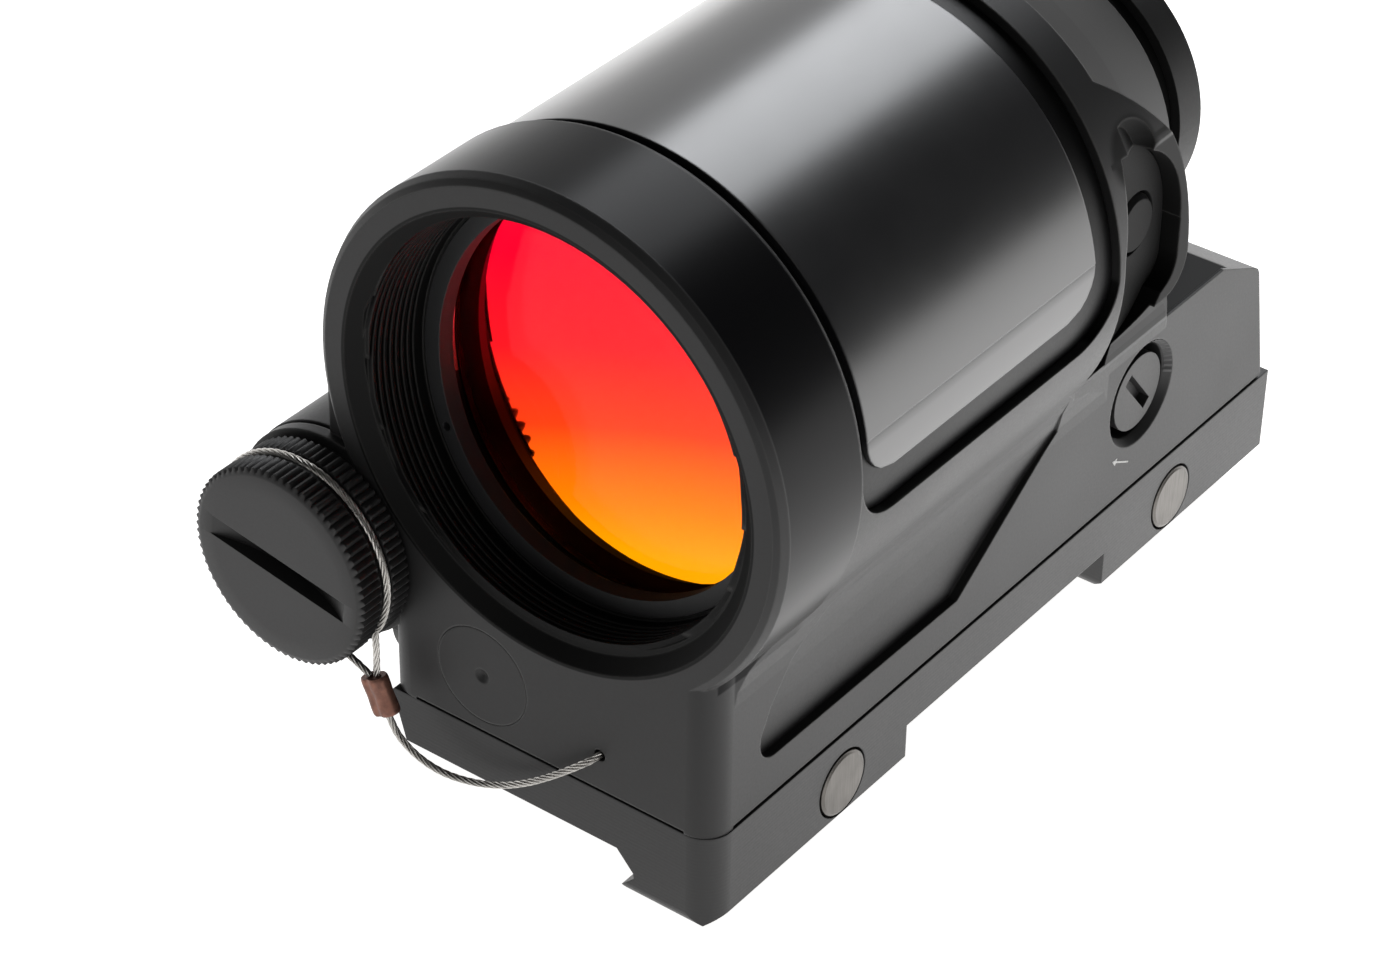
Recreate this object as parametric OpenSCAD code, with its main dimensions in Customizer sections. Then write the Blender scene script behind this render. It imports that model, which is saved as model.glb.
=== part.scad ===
// Sealed reflex sight for an accessory rail, millimetres.
// X runs across the sight, Y runs along the optical axis with the objective
// at the low end, Z is up. The origin is the middle of the rail seat.

/* [Whole sight] */
// Length of the base along the rail
base_l = 100.4; // [80:0.2:120]
// Height of the optical axis above the rail seat
axis_z = 42.4; // [34:0.1:50]
// Thickness of the base plate above the rail seat
base_t = 5.9; // [4:0.1:9]
// Half width of the base on the fixed jaw side
base_x = 19.8; // [16:0.1:24]

/* [Housing] */
// Outer radius of the front ring
ring_r = 26.7; // [24:0.1:30]
// Outer radius of the barrel behind the front ring
barrel_r = 26.3; // [24:0.1:29]
// Length of the plain front ring
ring_l = 12.6; // [8:0.1:18]
// Radius of the mouth of the objective
mouth_r = 23.4; // [21:0.1:25]
// Where the barrel ends and the rear cone begins
cone_y = 59; // [50:0.1:66]
// Where the rear cone ends
cone_end_y = 77; // [70:0.1:84]
// Radius at the small end of the rear cone
cone_end_r = 18.3; // [15:0.1:22]
// Half width of the block under the barrel
block_x = 19.7; // [18:0.1:24]
// Height of the rear block above the rail seat
rear_top_z = 25; // [20:0.1:30]
// Side plane of the control shroud
shroud_x = 24; // [22:0.1:26]

/* [Objective] */
// Tilt of the mirror lens, so that the emitter stays out of the view
lens_tilt = 6.4; // [0:0.1:10]
// Depth of the lens retaining ring at the axis
lens_y = 8.8; // [5:0.1:14]
// Radius of the lens seat
seat_r = 21.05; // [18:0.05:22]
// Radius of the clear opening
clear_r = 19.3; // [15:0.1:21]
// Number of light trap grooves ahead of the lens
trap_n = 9; // [4:1:14]

/* [Solar window] */
// Radius of the outer face of the window
window_r = 26; // [24:0.1:27]
// Near and far end of the window along the sight
window_y = [14, 51.2];
// Near and far end of the recess that holds it
recess_y = [12.6, 55];

/* [Eyepiece] */
// Outer radius of the eyepiece ring
eye_r = 16.3; // [14:0.1:18]
// Near and far face of the eyepiece ring
eye_y = [82, 86.6];
// Radius of the eyepiece glass
eye_glass_r = 13.6; // [12:0.1:14]

/* [Battery compartment] */
// Centre line of the battery tube, across and up
tube_x = -26.6; // [-32:0.1:-22]
tube_z = 21; // [16:0.1:26]
// Outer radius of the threaded tube
tube_r = 9.9; // [9:0.1:12]
// Outer radius of the round boss of the housing around the tube
boss_r = 11.2; // [10:0.1:13]
// Outer radius of the cap
cap_r = 10.7; // [9:0.1:12]
// How far the cap stands in front of the tube
cap_l = 7.2; // [5:0.1:10]
// Radius and length of the cell
cell_r = 7.15; // [5:0.05:8]
cell_l = 50.5; // [40:0.1:52]

/* [Rail clamp] */
// Distance between the two cross bolts, six slots of a standard rail
bolt_pitch = 60.05; // [50:0.01:70]
// Radius of the cross bolt shank
bolt_r = 2.4; // [2:0.05:3]
// Radius of the cross bolt head
head_r = 3.5; // [3:0.05:4.5]
// Radius of the clamp nuts
nut_r = 7.4; // [6:0.1:8]

/* [Controls] */
// Place of the sideways adjuster along and up
wind_y = 73; // [66:0.1:80]
wind_z = 17.5; // [14:0.1:20]
// Radius of both adjuster screws
adj_r = 4.35; // [3:0.05:5]
// Place of the brightness button along and up
btn_y = 64.3; // [60:0.1:68]
btn_z = 43; // [38:0.1:48]
// Radius of the button
btn_r = 3.15; // [2.5:0.05:4]

/* [Lanyard] */
// Radius of the braided wire
wire_r = 0.45; // [0.3:0.05:0.8]

/* [Part choice] */
// Sub-part to show

/* [Hidden] */
$fn = 96;
eps = 0.01;
matte = [0.13, 0.13, 0.135];
gloss = [0.05, 0.05, 0.055];
rubber = [0.1, 0.1, 0.1];
steel = [0.6, 0.59, 0.57];
brass = [0.72, 0.58, 0.3];
copper = [0.44, 0.28, 0.22];
coat = [0.95, 0.2, 0.2];
clear = [0.75, 0.85, 0.88];
front_y = -base_l / 2;
bolt_y = [51.1 - bolt_pitch / 2, 51.1 + bolt_pitch / 2];
bolt_z = -0.1;
jaw_len = 32;
rear_jaw_y = 68;
tube_end = 62.5;
cap_back = -0.35;
loop_y = -3.45;
loop_r = 10.5;
recess_r = window_r - 2.6;
pad_x = 21.9;
cell_y = 9;
height_x = -9;
height_y = 91;
led_at = [0, 70, 27.4];
// corner points of the clamp profile, half width across the rail
seat_half = 8.6;
flank_out = 10.9;
flank_in = 9.1;
hook_z = -5.2;
// route of the lanyard wire: front face is y = 0
route = [[-16.66, -3.45, 5.95], [-15.6, -3.2, 3.6], [-13.6, -2.9, 1.9], [-10.9, -2.5, 1],
    [-7.6, -2.1, 1.2], [-4.2, -1.8, 2.3], [-0.9, -1.6, 4.2], [2.2, -1.5, 6.6],
    [4.9, -1.2, 8.9], [6.2, -0.6, 10], [6.6, 0.6, 10.3], [6.6, 3, 10.3]];

// ---------- helpers ----------

// everything is drawn from the front face and then moved back to the seat centre
module place() {
    translate([0, front_y, 0])
        children();
}

// cylinder along Y from y0 to y1
module cyl_y(y0, y1, r, r2 = -1, x = 0, z = axis_z) {
    translate([x, y0, z])
        rotate([-90, 0, 0])
            cylinder(h = y1 - y0, r1 = r, r2 = r2 < 0 ? r : r2);
}

// cylinder along X from x0 to x1
module cyl_x(x0, x1, r, y, z, r2 = -1) {
    translate([x0, y, z])
        rotate([0, 90, 0])
            cylinder(h = x1 - x0, r1 = r, r2 = r2 < 0 ? r : r2);
}

// a flat outline in X and Z, drawn out along Y
module ext_y(y0, y1) {
    translate([0, y1, 0])
        rotate([90, 0, 0])
            linear_extrude(y1 - y0)
                children();
}

// a flat outline in Y and Z, drawn out along X
module ext_x(x0, x1) {
    translate([x0, 0, 0])
        rotate([90, 0, 90])
            linear_extrude(x1 - x0)
                children();
}

// box between two corners
module box(a, b) {
    translate(a)
        cube([b[0] - a[0], b[1] - a[1], b[2] - a[2]]);
}

// rectangle with round corners, from corner a to corner b
module round_rect(a, b, r) {
    translate([a[0] + r, a[1]])
        square([b[0] - a[0] - 2 * r, b[1] - a[1]]);
    translate([a[0], a[1] + r])
        square([b[0] - a[0], b[1] - a[1] - 2 * r]);
    for (x = [a[0] + r, b[0] - r], y = [a[1] + r, b[1] - r])
        translate([x, y])
            circle(r);
}

// frame of the tilted lens: v runs along the tilted axis from the ring's face
module lens_frame() {
    translate([0, lens_y, axis_z])
        rotate([-lens_tilt - 90, 0, 0])
            children();
}

// ring with a round section, around the Y axis
module seal_y(y, r, section, x = 0, z = axis_z) {
    translate([x, y, z])
        rotate([-90, 0, 0])
            rotate_extrude()
                translate([r, 0])
                    circle(section, $fn = 24);
}

// ---------- swept wire ----------

function unit(v) = v / norm(v);
function at(p, i) = p[max(0, min(len(p) - 1, i))];
// smooth curve through the points, n steps to each stretch
function curve_point(p, i, t) =
    let (a = at(p, i - 1), b = at(p, i), c = at(p, i + 1), d = at(p, i + 2))
    0.5 * (2 * b + (c - a) * t + (2 * a - 5 * b + 4 * c - d) * t * t
    + (3 * b - a - 3 * c + d) * t * t * t);
function curve(p, n) = concat(
    [for (i = [0:len(p) - 2], k = [0:n - 1]) curve_point(p, i, k / n)],
    [p[len(p) - 1]]);
function heading(p, i) = unit(at(p, i + 1) - at(p, i - 1));
// ring of points around point i, held square to the wire
function wire_ring(p, i, r, sides, up) =
    let (d = heading(p, i), s = unit(cross(d, up)), u = cross(s, d))
    [for (k = [0:sides - 1]) p[i] + r * (cos(360 * k / sides) * s + sin(360 * k / sides) * u)];

module wire(p, r, sides, up) {
    n = len(p);
    rings = [for (i = [0:n - 1]) each wire_ring(p, i, r, sides, up)];
    skin = [for (i = [0:n - 2], k = [0:sides - 1], half = [0, 1])
        let (a = i * sides + k, b = i * sides + (k + 1) % sides)
        half == 0 ? [a, b, b + sides] : [a, b + sides, a + sides]];
    ends = [[for (k = [sides - 1:-1:0]) k], [for (k = [0:sides - 1]) (n - 1) * sides + k]];
    polyhedron(points = rings, faces = concat(skin, ends), convexity = 10);
}

// coil along X at one radius
function coil_x(x0, x1, r, turns, steps, y, z) =
    [for (i = [0:steps]) let (t = i / steps, a = 360 * turns * t)
        [x0 + (x1 - x0) * t, y + r * cos(a), z + r * sin(a)]];
// coil along Y from one radius to another
function helix(y0, y1, r0, r1, turns, steps, x, z) =
    [for (i = [0:steps]) let (t = i / steps, a = 360 * turns * t, r = r0 + (r1 - r0) * t)
        [x + r * cos(a), y0 + (y1 - y0) * t, z + r * sin(a)]];

// ---------- housing ----------

// plan of the block: round front corners, small rear corners
module block_plan() {
    translate([-block_x, 3])
        square([2 * block_x, base_l - 4.3]);
    translate([-block_x + 3, 0])
        square([2 * block_x - 6, base_l - 0.8]);
    for (s = [-1, 1])
        translate([s * (block_x - 3), 3])
            circle(3);
}

// side outline of the block, low under the barrel, raised at the rear and falling to the back
module block_side() {
    polygon([[0, base_t], [98.9, base_t], [96, 20.6], [95.6, 21.3], [95, 21.7],
        [88, rear_top_z], [60, rear_top_z], [60, 30], [0, 30]]);
}

// hollow sweep from the barrel down to the side of the block, seen along the sight
module side_fill() {
    polygon([[15, 20.4], [block_x, 20.4], [block_x + 0.1, 22], [20.2, 24], [20.9, 25.9],
        [22, 27.9], [23.43, 30.46], [15, 30.46]]);
}

// the sweep fades in behind the round front corner and runs on under the shroud
module side_sweep() {
    intersection() {
        ext_y(1.2, 66)
            side_fill();
        translate([0, 0, 15])
            linear_extrude(20)
                polygon([[14, 1.2], [18.4, 1.2], [19.6, 2.9], [20.5, 5.4], [20.95, 8.5],
                    [21, ring_l], [24, ring_l + 0.1], [24, 50], [20.6, 58], [block_x, 66], [14, 66]]);
    }
    intersection() {
        ext_y(cone_y - 2, 77)
            polygon([[12, 22.8], [block_x, 23.6], [19.9, 25], [20.6, 27.2], [21.7, 29.8],
                [23, 32.2], [shroud_x, 34.4], [shroud_x, 37], [12, 37]]);
        ext_x(10, 26)
            polygon([[56, 20], [76.9, 20], [76.9, 24.4], [75.7, 27.4], [72.6, 31.4], [70.9, 34.2],
                [67.9, 37], [56, 37]]);
        translate([0, 0, 15])
            linear_extrude(25)
                polygon([[10, 55], [shroud_x, 55], [shroud_x, 67], [block_x, 76.8], [block_x, 80],
                    [10, 80]]);
    }
}

// long wedge pocket under the barrel on the open side
module side_pocket() {
    intersection() {
        ext_x(12, block_x + 2)
            union() {
                polygon([[9.6, 10.8], [40, 10.6], [56.6, 21.8], [56.6, 25.9], [24, 25.9], [17, 24],
                    [12, 20.6], [9, 17], [7.4, 14]]);
                translate([9.8, 13.2])
                    circle(2.4);
            }
        // the floor rises in a hollow curve towards the barrel
        ext_y(0, 60)
            polygon([[20.9, 25.9], [20.05, 23.9], [19.4, 21.6], [19, 18.9], [18.75, 15.5],
                [18.65, 12.4], [18.6, 8], [25, 8], [25, 25.9]]);
    }
}

// outline of the control shroud from the side
module shroud_outline(left) {
    difference() {
        intersection() {
            translate([43, 36.3])
                circle(28.9);
            translate([left, 33.3])
                square([30, 30]);
        }
        difference() {
            translate([67.88, 32])
                square([8, 5.3]);
            translate([67.88, 37.3])
                circle(4);
        }
    }
}

// outline of the control recess, t inside its edge
module recess_outline(t, left) {
    intersection() {
        union() {
            translate([57.8, 41.9])
                circle(12 - t);
            translate([66.7, 37.7])
                circle(3.2 - t);
            polygon([[50, 41.9], [50, 27.01 + 1.09 * t], [55.9, 29.5 + 1.09 * t],
                [67.98 - 0.4 * t, 34.77 + 0.92 * t], [66.7, 41.9]]);
            translate([50, 37.7])
                square([19.9 - t, 4.2]);
        }
        polygon([[left, 25], [left, 44.5], [left + 2, 54.2], [left + 30, 54.2], [left + 30, 25]]);
    }
}

module rear_cone() {
    cyl_y(cone_y, cone_end_y, barrel_r - 0.05, cone_end_r);
    cyl_y(cone_end_y - 1, 84, 15.2);
}

module housing_solid() {
    difference() {
        union() {
            cyl_y(0, 0.4, ring_r - 1, ring_r - 0.4);
            cyl_y(0.4, 1.2, ring_r - 0.4, ring_r);
            cyl_y(1.2, ring_l - 0.5, ring_r);
            cyl_y(ring_l - 0.5, ring_l, ring_r, barrel_r);
            cyl_y(ring_l - 1, cone_y, barrel_r);
            rear_cone();
        }
        // the barrel is cut back to the shroud behind the window frame
        ext_x(shroud_x, 30)
            polygon([[55.9, 33], [55.9, 44.5], [57.9, 54.2], [64, 54.2], [64, 33]]);
    }
    difference() {
        union() {
            intersection() {
                translate([0, 0, base_t])
                    linear_extrude(30)
                        block_plan();
                ext_x(-30, 30)
                    block_side();
            }
        }
        // ledge beside the cone, behind a thin lip
        ext_x(14.6, block_x - 0.45)
            polygon([[77.2, 29], [77.2, 25.6], [77.6, 24.7], [78.4, 24.3], [92, 24.3], [92, 29]]);
    }
    side_sweep();
    // control shroud: a flat side whose top follows the barrel, with a hollow above the recess
    difference() {
        intersection() {
            ext_x(8, shroud_x)
                shroud_outline(55.9);
            cyl_y(50, 80, barrel_r);
        }
        translate([26.1, 60.2, 54.9])
            sphere(4.3);
    }
    // round boss around the battery tube, with a front rim
    cyl_y(0.3, 1.5, boss_r - 0.1, x = tube_x, z = tube_z);
    cyl_y(1.4, 2, boss_r - 0.5, x = tube_x, z = tube_z);
    cyl_y(1.9, tube_end - 3, boss_r, x = tube_x, z = tube_z);
    cyl_y(tube_end - 3, tube_end - 1.5, boss_r, boss_r - 1, x = tube_x, z = tube_z);
    box([tube_x + 4, 4, 9], [-12, tube_end - 4, 27]);
    // upright flank from the front ring and the barrel down to the boss
    box([-ring_r, 1.2, 24], [-12, ring_l - 0.5, axis_z]);
    box([-barrel_r + 0.7, ring_l - 1, 24], [-12, cone_y - 3, axis_z - 5.5]);
    // boss of the height adjuster
    translate([height_x, height_y, 12])
        cylinder(h = rear_top_z - 12 + 0.3, r = 7);
}

// grooves of the light trap
module light_trap() {
    step = 0.82;
    lens_frame()
        for (i = [0:trap_n - 1])
            translate([0, 0, -0.9 - (i + 1) * step])
                difference() {
                    cylinder(h = 0.44, r = 22);
                    translate([0, 0, -1])
                        cylinder(h = 3, r = 21.3);
                }
}

module housing_inside() {
    // mouth, tilted bore and lens seat
    cyl_y(-1, 0.01, mouth_r);
    cyl_y(0, 1.3, mouth_r, 21.9);
    intersection() {
        lens_frame()
            translate([0, 0, -12])
                cylinder(h = 12.1, r = 21.4);
        cyl_y(-1, 30, 24);
    }
    light_trap();
    lens_frame()
        cylinder(h = 8.7, r = seat_r);
    cyl_y(12, 24, clear_r);
    // main space and its cone
    cyl_y(22, 54, 20.2);
    cyl_y(53.99, 76, 20.2, 14);
    cyl_y(75, 85, 12.6);
    cyl_y(80.8, 85, 13.75);
    // electronics bay, open below inside the gasket, and the pocket beside it
    box([-8.5, 59, base_t - 1], [14, 85, 21]);
    box([-8.5, 84, base_t - 1], [2, 95.5, 14.6]);
    box([-13, 87, 11.2], [-8, 95.5, 14.6]);
    box([-5.5, 66, 20], [5.5, 80, 33]);
    // lightening pocket, open below
    box([-14.5, 16, base_t - 1], [14.5, 46, 17.5]);
}

module window_recess() {
    difference() {
        ext_x(-30, 30)
            round_rect([recess_y[0], axis_z - 5.2], [recess_y[1], axis_z + 40], 6);
        cyl_y(recess_y[0] - 1, recess_y[1] + 1, recess_r);
    }
}

module housing() {
    color(matte)
        place()
            difference() {
                housing_solid();
                housing_inside();
                window_recess();
                side_pocket();
                seam();
                // control recess with its switch pocket
                ext_x(20.1, 30)
                    recess_outline(0, 55.95);
                cyl_x(17.9, 21, 3.4, btn_y, btn_z);
                // sideways adjuster: bevelled recess and shaft hole
                cyl_x(block_x - 0.9, block_x + eps, 5.3, wind_y, wind_z, 6);
                cyl_x(block_x, block_x + 3, 6, wind_y, wind_z, 7.5);
                cyl_x(16, block_x, 5.3, wind_y, wind_z);
                cyl_x(12, 18, 2, wind_y, wind_z);
                // height adjuster
                translate([height_x, height_y, rear_top_z - 3.6])
                    cylinder(h = 5, r = 5.3);
                translate([height_x, height_y, 14])
                    cylinder(h = 10, r = 2);
                // front plug and lanyard hole
                cyl_y(-1, 3.1, 5.45, x = -7.6, z = 12.8);
                cyl_y(-1, 6, 0.65, x = 6.6, z = 10.3);
                // battery tube
                cyl_y(-1, 70, tube_r + 0.02, x = tube_x, z = tube_z);
                // blind holes for the base screws
                for (x = [-5.5, 5.5], y = [8, 52])
                    translate([x, y, base_t - 1])
                        cylinder(h = 6.2, r = 2.02);
            }
}

// fine step in the housing's foot, which shows as a dark line above the base
module seam() {
    for (x = [block_x - 0.4, -block_x - 1])
        box([x, 3.4, base_t - 1], [x + 1.4, base_l - 1, base_t + 0.35]);
    box([-16, -1, base_t - 1], [16.5, 0.4, base_t + 0.3]);
}

module front_plug() {
    color(matte)
        place()
            difference() {
                cyl_y(0, 3, 5.4, x = -7.6, z = 12.8);
                cyl_y(-eps, 0.5, 0.9, 0.05, x = -7.6, z = 12.8);
            }
}

// ---------- objective ----------

module lens_ring() {
    color(matte)
        place()
            lens_frame()
                difference() {
                    cylinder(h = 2, r = seat_r - 0.05);
                    translate([0, 0, -1])
                        cylinder(h = 4, r = clear_r);
                    for (a = [28, 152, 270])
                        rotate([0, 0, a])
                            translate([20.2, 0, -1])
                                cylinder(h = 2, r = 0.45);
                }
}

module lens_front() {
    color(clear)
        place()
            lens_frame()
                translate([0, 0, 2.05])
                    cylinder(h = 2.6, r = seat_r - 0.15);
}

module lens_mirror() {
    color(coat)
        place()
            lens_frame()
                translate([0, 0, 4.7])
                    cylinder(h = 3, r = seat_r - 0.15);
}

module lens_seal() {
    color(rubber)
        place()
            lens_frame()
                translate([0, 0, 8.2])
                    rotate_extrude()
                        translate([20.3, 0])
                            circle(0.48, $fn = 24);
}

// ---------- solar window ----------

// curved sheet over the barrel between two radii, inside a round rectangle
module saddle(r_in, r_out, y, drop, corner) {
    intersection() {
        difference() {
            cyl_y(y[0] - 1, y[1] + 1, r_out);
            cyl_y(y[0] - 2, y[1] + 2, r_in);
        }
        ext_x(-30, 30)
            round_rect([y[0], axis_z - drop], [y[1], axis_z + 40], corner);
    }
}

module solar_cell() {
    color([0.05, 0.05, 0.12])
        place()
            saddle(recess_r + 0.05, recess_r + 0.6, [16.5, 49], -3, 0.5);
}

module solar_gasket() {
    color(rubber)
        place()
            difference() {
                saddle(recess_r + 0.05, window_r - 0.7, [recess_y[0] + 0.05, recess_y[1] - 0.05], 5.1, 5.9);
                ext_x(-30, 30)
                    round_rect([window_y[0] - 0.02, axis_z - 0.52], [window_y[1] + 0.02, axis_z + 40], 4.5);
            }
}

module solar_window() {
    color(gloss)
        place()
            saddle(recess_r + 0.7, window_r, window_y, 0.5, 4.5);
}

// ---------- eyepiece ----------

module eyepiece_ring() {
    color(matte)
        place()
            difference() {
                union() {
                    cyl_y(eye_y[0], eye_y[1] - 0.6, eye_r);
                    cyl_y(eye_y[1] - 0.6, eye_y[1], eye_r, eye_r - 0.6);
                }
                cyl_y(eye_y[0] - 1, 84.05, 15.25);
                cyl_y(84, eye_y[1] - 1.5, 12.8);
                cyl_y(eye_y[1] - 1.5, eye_y[1] + eps, 12.8, 14);
            }
}

module eyepiece_glass() {
    color(clear)
        place()
            cyl_y(81.9, 83.95, eye_glass_r);
}

module eyepiece_seal() {
    color(rubber)
        place()
            seal_y(81.35, 13.18, 0.5);
}

// ---------- controls ----------

module keypad() {
    color(rubber)
        place()
            difference() {
                ext_x(20.15, pad_x)
                    recess_outline(0.1, 56.1);
                cyl_x(20, pad_x + 1, btn_r + 0.35, btn_y, btn_z);
            }
}

module button() {
    color(rubber)
        place()
            union() {
                cyl_x(19.95, pad_x - 0.2, btn_r, btn_y, btn_z);
                cyl_x(pad_x - 0.21, pad_x + 0.4, btn_r, btn_y, btn_z, btn_r - 0.4);
            }
}

module dome_switch() {
    color(steel)
        place()
            union() {
                cyl_x(17.95, 18.3, 3.2, btn_y, btn_z);
                cyl_x(18.3, 19, 2.6, btn_y, btn_z, 1.2);
            }
}

// screwdriver slot with round ends, in a disc facing up
module slot_cut(l, w) {
    translate([-l / 2, -w / 2, 0])
        cube([l, w, 2]);
}

module windage_screw() {
    color(matte)
        place()
            translate([0, wind_y, wind_z])
                rotate([0, 90, 0])
                    difference() {
                        union() {
                            translate([0, 0, 16.6])
                                cylinder(h = block_x - 0.5 - 16.6, r = adj_r);
                            translate([0, 0, 5])
                                cylinder(h = 12, r = 1.6);
                        }
                        translate([0, 0, block_x - 1.7])
                            rotate([0, 0, 40])
                                slot_cut(6.2, 1.4);
                    }
}

module windage_seal() {
    color(rubber)
        place()
            translate([16.3, wind_y, wind_z])
                rotate([0, 90, 0])
                    rotate_extrude()
                        translate([4.6, 0])
                            circle(0.28, $fn = 24);
}

module elevation_screw() {
    color(matte)
        place()
            translate([height_x, height_y, 0])
                difference() {
                    union() {
                        translate([0, 0, rear_top_z - 3])
                            cylinder(h = 2.8, r = adj_r);
                        translate([0, 0, 14.4])
                            cylinder(h = 8, r = 1.6);
                    }
                    translate([0, 0, rear_top_z - 1.4])
                        rotate([0, 0, 25])
                            slot_cut(6.2, 1.4);
                }
}

module elevation_seal() {
    color(rubber)
        place()
            translate([height_x, height_y, rear_top_z - 3.3])
                rotate_extrude()
                    translate([4.6, 0])
                        circle(0.28, $fn = 24);
}

// ---------- electronics ----------

// block that the sideways screw moves
module cross_slide() {
    color(brass)
        place()
            box([-4, 70.4, 15], [4, 75, 20.6]);
}

// holder of the emitter, with an arm that reaches under the height screw
module led_carriage() {
    color(brass)
        place()
            difference() {
                union() {
                    box([-3.6, 69, 21.2], [3.6, 77.4, led_at[2] + 1.4]);
                    box([-3.6, 75.4, 11.9], [3.6, 77.4, 21.3]);
                    box([-3.6, 77.3, 11.9], [1.2, 94, 13.6]);
                    box([-12, 88, 11.9], [-3.5, 94, 13.6]);
                }
                translate(led_at)
                    rotate([77, 0, 0])
                        translate([0, 0, -5])
                            cylinder(h = 12, r = 1.42);
            }
}

module led() {
    color([0.9, 0.25, 0.2])
        place()
            translate(led_at)
                rotate([77, 0, 0])
                    union() {
                        translate([0, 0, -4])
                            cylinder(h = 5.01, r = 1.4);
                        translate([0, 0, 1])
                            cylinder(h = 1.6, r1 = 1.4, r2 = 0.6);
                    }
}

module carriage_spring() {
    color(steel)
        place()
            wire(coil_x(-8.1, -4.7, 1.6, 4, 48, 73, 18), 0.2, 6, [1, 0.01, 0]);
}

module circuit_board() {
    color([0.1, 0.3, 0.15])
        place()
            union() {
                box([-8, 60, 8.4], [12, 84, 9.8]);
                box([5.5, 62, 9.8 - eps], [11, 68, 11.2]);
                box([-7.5, 63, 9.8 - eps], [-3, 66, 12]);
                box([-7.5, 71, 9.8 - eps], [-4.5, 75.5, 11]);
            }
}

// ---------- battery compartment ----------

module battery_tube() {
    color(matte)
        place()
            difference() {
                union() {
                    cyl_y(0, tube_end - 1, tube_r, x = tube_x, z = tube_z);
                    cyl_y(tube_end - 1, tube_end, tube_r, tube_r - 1, x = tube_x, z = tube_z);
                }
                cyl_y(-1, 7, 8.78, x = tube_x, z = tube_z);
                cyl_y(6, 60.5, 7.5, x = tube_x, z = tube_z);
            }
}

module battery() {
    color([0.55, 0.56, 0.58])
        place()
            union() {
                cyl_y(cell_y, cell_y + cell_l - 1.5, cell_r, x = tube_x, z = tube_z);
                cyl_y(cell_y + cell_l - 1.6, cell_y + cell_l, 2.75, x = tube_x, z = tube_z);
            }
}

module battery_contact() {
    color(brass)
        place()
            cyl_y(cell_y + cell_l, 60.5, 5, x = tube_x, z = tube_z);
}

module battery_cap() {
    slot_d = 2;
    cutter_r = 19;
    color(matte)
        place()
            difference() {
                union() {
                    cyl_y(-cap_l, -cap_l + 0.4, cap_r - 0.4, cap_r, x = tube_x, z = tube_z);
                    cyl_y(-cap_l + 0.4, cap_back, cap_r, x = tube_x, z = tube_z);
                    cyl_y(cap_back - 1, 6, 8.7, x = tube_x, z = tube_z);
                }
                // groove that the wire loop lies in
                difference() {
                    cyl_y(loop_y - 0.8, loop_y + 0.8, cap_r + 1, x = tube_x, z = tube_z);
                    cyl_y(loop_y - 2, loop_y + 2, 9.7, x = tube_x, z = tube_z);
                }
                // coin slot with a round floor
                translate([tube_x, -cap_l + slot_d - cutter_r, tube_z])
                    rotate([0, 10, 0])
                        translate([0, 0, -1.15])
                            cylinder(h = 2.3, r = cutter_r);
                // seal groove
                difference() {
                    cyl_y(1.2, 2.2, 9, x = tube_x, z = tube_z);
                    cyl_y(1, 3, 7.8, x = tube_x, z = tube_z);
                }
                cyl_y(1.2, 7, 6.4, x = tube_x, z = tube_z);
            }
}

module cap_seal() {
    color(rubber)
        place()
            seal_y(1.7, 8.26, 0.43, x = tube_x, z = tube_z);
}

module cap_spring() {
    color(steel)
        place()
            wire(helix(1.7, 8.5, 5.2, 3, 4, 64, tube_x, tube_z), 0.35, 6, [0.01, 1, 0]);
}

// path of the loop: up from the ferrule, round the cap groove and back down
function loop_path(turn) = concat(
    [[8.7, 0, -11.3], [8.78, 0, -8.5]],
    [for (a = [-33:turn:293]) [loop_r * cos(a), 0, loop_r * sin(a)]],
    [[6, 0, -10.5], [7.95, 0, -11.4]]);

module wire_loop() {
    color(steel)
        place()
            translate([tube_x, loop_y, tube_z])
                wire(loop_path(6.52), wire_r, 8, [0, 1, 0]);
}

module ferrule() {
    color(copper)
        place()
            translate([-18.3, loop_y, 9.8])
                rotate([0, 157, 0])
                    cylinder(h = 4.1, r = 1.35);
}

module lanyard() {
    color(steel)
        place()
            wire(curve(route, 3), wire_r, 8, [0.3, 1, 0.2]);
}

// ---------- base and rail clamp ----------

// one side of the clamp profile, flank against the rail
module hook(outer, top) {
    polygon([[outer, top], [seat_half, top], [seat_half, 0], [flank_out - 0.3, -2.2], [flank_out - 0.24, -2.77],
        [flank_in, -4.31], [flank_in + 0.9, hook_z], [outer - 1.8, hook_z], [outer, hook_z + 1.3]]);
}

// length of the fixed jaw with round lower corners
module jaw(y0, y1) {
    intersection() {
        ext_y(y0, y1)
            hook(base_x, 0.5);
        ext_x(0, 30)
            round_rect([y0, hook_z], [y1, 6], 1.5);
    }
}

module bolt_holes(r) {
    for (y = bolt_y)
        cyl_x(-40, 40, r, y, bolt_z);
}

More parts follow.
